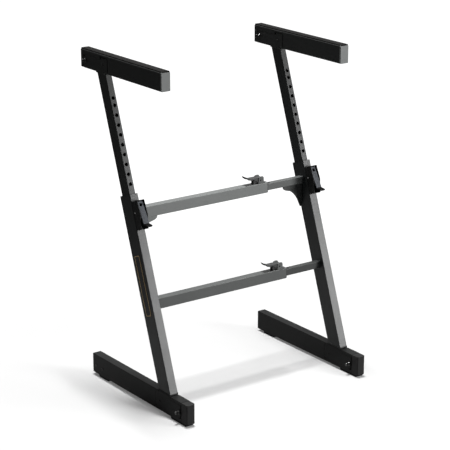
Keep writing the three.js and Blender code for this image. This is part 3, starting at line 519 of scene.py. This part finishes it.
# %% [markdown]
# ## Latch springs and grips
# A coil spring pushes the lock pin into its hole. It is one wire on a helix round the pin, from the
# back plate to the head, and it rides on the pin. The foot of each lever has a thick black rubber
# lip for the finger: a rounded bar, thickest near the edge, pushed over the steel.

# %% Latch springs and grips
SPRING_RADIUS = 5.0 * MM
WIRE_RADIUS = 0.55 * MM
SPRING_TURNS = 7
SPRING_FOOT, SPRING_LENGTH = 3.0 * MM, 17.2 * MM  # out from the front of the leg
PIN_DOWN, HINGE_OUT = 23 * MM, 18 * MM  # the pin below the hinge, and the hinge out from the leg
LEVER_FOOT = (55 * MM, 16 * MM)  # down and out from the hinge
LEVER_LIP = (61 * MM, 28 * MM)


def coil(name, foot, axis, length, body):
    """A helix: the angle grows evenly along the wire, and each end lies flat for half a turn."""
    axis = np.array(axis)
    side = np.array((1.0, 0, 0))
    other = np.cross(axis, side)
    t = np.linspace(0, 1, SPRING_TURNS * 18)
    rise = np.clip((t * SPRING_TURNS - 0.5) / (SPRING_TURNS - 1), 0, 1)
    angle = 2 * np.pi * SPRING_TURNS * t
    circle = SPRING_RADIUS * (np.cos(angle)[:, None] * side + np.sin(angle)[:, None] * other)
    path = foot + circle + np.outer(rise * length, axis)
    return loft(name, tube_rings(path, WIRE_RADIUS, axis, 6), ZINC, body)


def grip(name, corner, body):
    """A rounded bar over the lip of the lever, carried from the lever's foot to past its lip.

    Each ring is a soft box: width x |cos|^0.35 by thickness x |sin|^0.6, with the signs of both.
    """
    foot, tip = corner
    run = (tip - foot) / np.linalg.norm(tip - foot)
    flat = np.cross(run, (1.0, 0, 0))
    share = np.array((-0.12, -0.1, 0.0, 0.35, 0.8, 1.05, 1.12, 1.14))
    thick = np.array((0.5, 1.6, 2.1, 2.3, 2.7, 2.6, 1.7, 0.4)) * MM
    wide = np.array((7.6, 8.1, 8.3, 8.4, 8.4, 8.3, 7.9, 7.2)) * MM
    angle = np.linspace(0, 2 * np.pi, 24, endpoint=False)
    across = np.sign(np.cos(angle)) * np.abs(np.cos(angle)) ** 0.35
    through = np.sign(np.sin(angle)) * np.abs(np.sin(angle)) ** 0.6
    middles = foot + share[:, None] * (tip - foot)
    widths = wide[:, None, None] * across[None, :, None] * np.array((1.0, 0, 0))
    rings = middles[:, None] + widths + thick[:, None, None] * through[None, :, None] * flat
    return loft(name, rings, GRIP_RUBBER, body)


for side in SIDES:
    hinge = middle(f"{side}_latch_hinge_pin")
    pin = hinge - PIN_DOWN * UP_LEG - HINGE_OUT * OUT_OF_LEG
    spring_foot = pin + SPRING_FOOT * OUT_OF_LEG
    coil(f"{side}_latch_spring", spring_foot, OUT_OF_LEG, SPRING_LENGTH, f"{side}_lock_pin")
    foot = hinge - LEVER_FOOT[0] * UP_LEG + LEVER_FOOT[1] * OUT_OF_LEG
    tip = hinge - LEVER_LIP[0] * UP_LEG + LEVER_LIP[1] * OUT_OF_LEG
    grip(f"{side}_latch_grip", (foot, tip), f"{side}_lever")
print("springs and grips in place")

# %% [markdown]
# ## Ribbed strips
# The keyboard rests on a rubber strip with fine ribs across it. A flat box section is carried along
# the strip, and its height goes up and down with the way along it.

# %% Ribbed strips
RIB_PITCH, RIB_HEIGHT, RIB_ROOT = 6 * MM, 0.7 * MM, 0.6 * MM
RIB_CHAMFER = 0.8 * MM
END_GAP, SIDE_GAP = 1.5 * MM, 1.2 * MM  # plain rubber round the ribs


def ribbed(name, low, high, body):
    """Box sections every sixth of a rib, on the top of the box from low to high.

    Height = rib height x (0.5 + 0.5 x tanh(2.2 x sin(2 pi x way along / pitch))), a soft square wave.
    """
    way = np.arange(low[1] + END_GAP, high[1] - END_GAP, RIB_PITCH / 6)
    wave = np.tanh(2.2 * np.sin(2 * np.pi * (way - low[1]) / RIB_PITCH))
    top = high[2] + RIB_HEIGHT * (0.5 + 0.5 * wave)
    root = np.full_like(way, high[2] - RIB_ROOT)
    shoulder = top - 0.6 * RIB_HEIGHT
    x0, x1 = low[0] + SIDE_GAP, high[0] - SIDE_GAP
    section = [(x0, root), (x0, shoulder), (x0 + RIB_CHAMFER, top),
               (x1 - RIB_CHAMFER, top), (x1, shoulder), (x1, root)]
    lines = [np.stack([np.full_like(way, x), way, z], axis=1) for x, z in section]
    return loft(name, np.stack(lines, axis=1), STRIP_RUBBER, body)


for side in SIDES:
    low, high = (np.array(v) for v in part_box(f"{side}_arm_rubber_strip"))
    ribbed(f"{side}_arm_ribs", low, high, f"{side}_arm")
print("ribs moulded")

# %% [markdown]
# ## Crossbar mouths
# A thin plastic rim closes the gap at the mouth of each outer bar, and shows as a dark line there. Its
# outline is a rounded box with a hole, so four profiles are carried round the mouth as one ring.

# %% Crossbar mouths
RIM_THICKNESS, RIM_ROOT = 1.6 * MM, 0.3 * MM
RIM_SLACK, RIM_INSET = 0.4 * MM, 0.1 * MM
RIM_STEPS = 64


def mouth_rim(name, outer, inner, x, body):
    """A closed ring of four-point sections: outer and inner edge, inside the bar's end and in front.

    Each edge is a soft box: half its size x |cos|^0.2 and |sin|^0.2, with the signs of both.
    """
    angle = np.linspace(0, 2 * np.pi, RIM_STEPS, endpoint=False)
    cos, sin = np.cos(angle), np.sin(angle)

    def outline(low, high):
        half = (high - low) / 2
        one = np.sign(cos) * np.abs(cos) ** 0.2 * half[0]
        other = np.sign(sin) * np.abs(sin) ** 0.2 * half[1]
        return (low + high) / 2 + np.stack([one, other], axis=1)

    big, small = outline(*outer), outline(*inner)
    root, face = x - RIM_ROOT, x + RIM_THICKNESS
    section = ((root, big), (face, big), (face, small), (root, small))
    ring = [np.column_stack([np.full(RIM_STEPS, at), edge]) for at, edge in section]
    return loft(name, np.stack(ring, axis=1), DARK_PLASTIC, body, closed=True)


for bar in ("upper", "lower"):
    low, high = (np.array(v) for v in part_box(f"{bar}_outer_bar"))
    in_low, in_high = (np.array(v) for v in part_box(f"{bar}_inner_bar"))
    mouth_rim(f"{bar}_bar_mouth_rim", (low[1:] + RIM_INSET, high[1:] - RIM_INSET),
              (in_low[1:] - RIM_SLACK, in_high[1:] + RIM_SLACK), high[0], "left_frame")
print("mouths closed")

# %% [markdown]
# ## Border of the rating plate
# The plate on the left leg is bare black metal with a thin gold line round it. The line is a flat
# ribbon: a rounded box outline, carried as a closed ring of four-point sections.

# %% Plate border
PLATE_WIDTH = 26 * MM
LINE_WIDTH, LINE_INSET, LINE_PROUD = 1.0 * MM, 1.4 * MM, 0.08 * MM
GOLD = moulded("gold line", 0.75, 0.4, tint=(1.0, 0.7, 0.34), dust=0.0)


def plate_border(width, inset, proud):
    """A soft box along the leg, |cos|^0.12 by |sin|^0.12, that stands a little proud of the plate."""
    plate = middle("rating_plate")
    low, high = (np.array(v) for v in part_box("rating_plate"))
    half_up = (high[2] - low[2] - PLATE_WIDTH * math.sin(LEAN)) / 2 / math.cos(LEAN)
    half_across = PLATE_WIDTH / 2
    angle = np.linspace(0, 2 * np.pi, 80, endpoint=False)
    cos, sin = np.cos(angle), np.sin(angle)

    def outline(away):
        across = np.sign(cos) * np.abs(cos) ** 0.12 * (half_across - away)
        along = np.sign(sin) * np.abs(sin) ** 0.12 * (half_up - away)
        return plate + across[:, None] * OUT_OF_LEG + along[:, None] * UP_LEG

    rows = []
    near, far = low[0] - proud, low[0] + proud
    for away, x in ((inset, near), (inset + width, near), (inset + width, far), (inset, far)):
        row = outline(away)
        row[:, 0] = x
        rows.append(row)
    rings = np.stack(rows, axis=1)
    return loft("rating_plate_border", rings, GOLD, "left_frame", closed=True)


plate_border(LINE_WIDTH, LINE_INSET, LINE_PROUD)
print("plate bordered")

# %% [markdown]
# ## Studio
# The photograph has a white ground with soft grey shadows. The floor is a plain pale plane, lit like
# the stand, with a little light of its own for the camera, so that it reaches white and still keeps
# the shadows. One large soft lamp at the front right makes the fronts of the legs shine, and one high
# above lights the floor and throws the soft band of shadow of the crossbars.

# %% Studio
FLOOR_GREY, FAR_GREY = 0.45, 0.1
FLOOR_GLOW = 0.13  # light of the floor itself, for the camera, near the stand
FLOOR_IN_METAL = 0.5  # the share of the floor's colour that shows in metal and gloss
SWEEP = (0.55, 1.7)  # from here to here, in metres from the middle, the floor turns into plain white
ROOM = 0.13  # light from the room
WALL_IN_METAL = 0.5  # the white wall, as it shows in metal


def make_floor():
    mesh = bpy.data.meshes.new("floor")
    reach = 12.0
    corners = [(-reach, -reach, 0), (reach, -reach, 0), (reach, reach, 0), (-reach, reach, 0)]
    mesh.from_pydata(corners, [], [(0, 1, 2, 3)])
    floor = bpy.data.objects.new("floor", mesh)
    floor.location.z = -0.0005
    bpy.context.collection.objects.link(floor)
    material, tree, shader = start_material("floor")
    paths = add_node(tree, "ShaderNodeLightPath")
    direct = add_node(tree, "ShaderNodeMath", {"operation": "MAXIMUM"},
                      _0=paths.outputs["Is Camera Ray"], _1=paths.outputs["Is Transmission Ray"])
    away = add_node(tree, "ShaderNodeVectorMath", {"operation": "LENGTH"},
                    _0=add_node(tree, "ShaderNodeTexCoord").outputs["Object"])
    sweep = add_node(tree, "ShaderNodeMapRange", {"interpolation_type": "SMOOTHSTEP"},
                     Value=away.outputs["Value"], From_Min=SWEEP[0], From_Max=SWEEP[1]).outputs[0]
    glow = product(tree, direct.outputs[0], spread(tree, sweep, FLOOR_GLOW, 1.0))
    share = spread(tree, paths.outputs["Is Glossy Ray"], 1.0, FLOOR_IN_METAL)
    colour = product(tree, spread(tree, sweep, FLOOR_GREY, FAR_GREY), share)
    tree.links.new(colour, shader.inputs["Base Color"])
    shader.inputs["Roughness"].default_value = 1.0
    shader.inputs["Specular IOR Level"].default_value = 0.0
    shader.inputs["Emission Color"].default_value = grey(1.0)
    tree.links.new(glow, shader.inputs["Emission Strength"])
    mesh.materials.append(material)
    return floor


def make_lamp(name, place, target, size, watts, colour=(1, 1, 1)):
    lamp = bpy.data.objects.new(name, bpy.data.lights.new(name, "AREA"))
    lamp.data.shape = "RECTANGLE"
    lamp.data.size, lamp.data.size_y = size
    lamp.data.energy = watts
    lamp.data.color = colour
    lamp.location = place
    lamp.rotation_mode = "QUATERNION"
    lamp.rotation_quaternion = (Vector(target) - Vector(place)).to_track_quat("-Z", "Y")
    bpy.context.collection.objects.link(lamp)
    return lamp


def make_world():
    world = bpy.data.worlds.new("studio")
    world.use_nodes = True
    tree = world.node_tree
    background = tree.nodes["Background"]
    background.inputs["Color"].default_value = grey(1.0)
    paths = add_node(tree, "ShaderNodeLightPath")
    direct = add_node(tree, "ShaderNodeMath", {"operation": "MAXIMUM"},
                      _0=paths.outputs["Is Camera Ray"], _1=paths.outputs["Is Transmission Ray"])
    sky = add_node(tree, "ShaderNodeTexCoord").outputs["Generated"]
    wall = add_node(tree, "ShaderNodeVectorMath", {"operation": "DOT_PRODUCT"},
                    _0=sky, _1=(forward.x, forward.y, 0.0))
    edge = spread(tree, wall.outputs["Value"], ROOM, WALL_IN_METAL, From_Min=0.3, From_Max=0.6)
    room = add_node(tree, "ShaderNodeMix", Factor=paths.outputs["Is Glossy Ray"], A=ROOM, B=edge)
    level = add_node(tree, "ShaderNodeMix", Factor=direct.outputs[0], A=room.outputs["Result"], B=1.0)
    tree.links.new(level.outputs["Result"], background.inputs["Strength"])
    bpy.context.scene.world = world


make_floor()
make_world()
make_lamp("key", (2.5, -3.65, 1.15), (0, 0, 0.4), (1.7, 1.5), 190)
make_lamp("overhead", (0.1, 0.35, 7.0), (0, 0, 0), (0.8, 1.3), 830)
print("studio with", len(bpy.data.lights), "lamps")
